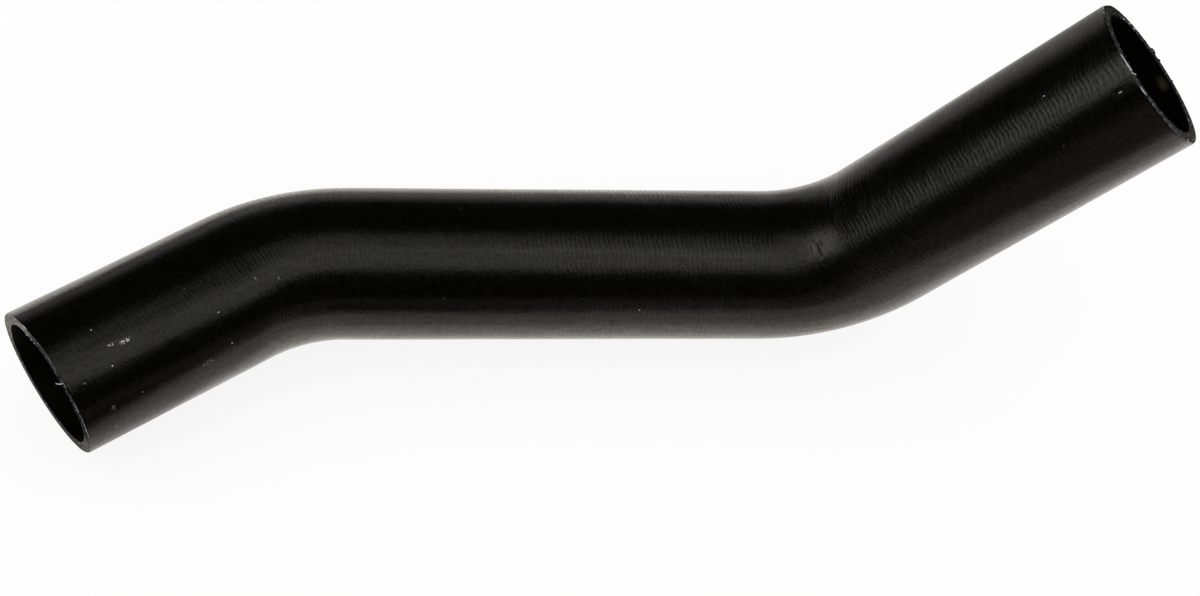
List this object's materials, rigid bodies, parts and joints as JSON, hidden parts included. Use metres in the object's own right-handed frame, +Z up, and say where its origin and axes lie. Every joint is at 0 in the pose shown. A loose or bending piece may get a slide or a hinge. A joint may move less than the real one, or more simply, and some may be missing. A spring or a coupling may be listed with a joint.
{
  "type": "fuel filler hose",
  "caption": "Black rubber fuel filler hose for a car: a tube with a shallow bend and a deeper bend square to it, and plain cut ends that slip over pipe ends.",
  "frame": {"origin": "on the table that the hose lies on, under the centre of the hose's box", "axes": "+Z up from the table; +X along the straight middle run, towards the end that takes the filler neck; the tank end lies at -X and -Y"},
  "size_m": [0.4422, 0.1106, 0.172],
  "materials": {
    "hose_rubber": "satin black moulded rubber with fine marks of the curing wrap"
  },
  "bodies": {
    "root": {"filler_hose": "hose_rubber"}
  },
  "joints": []
}
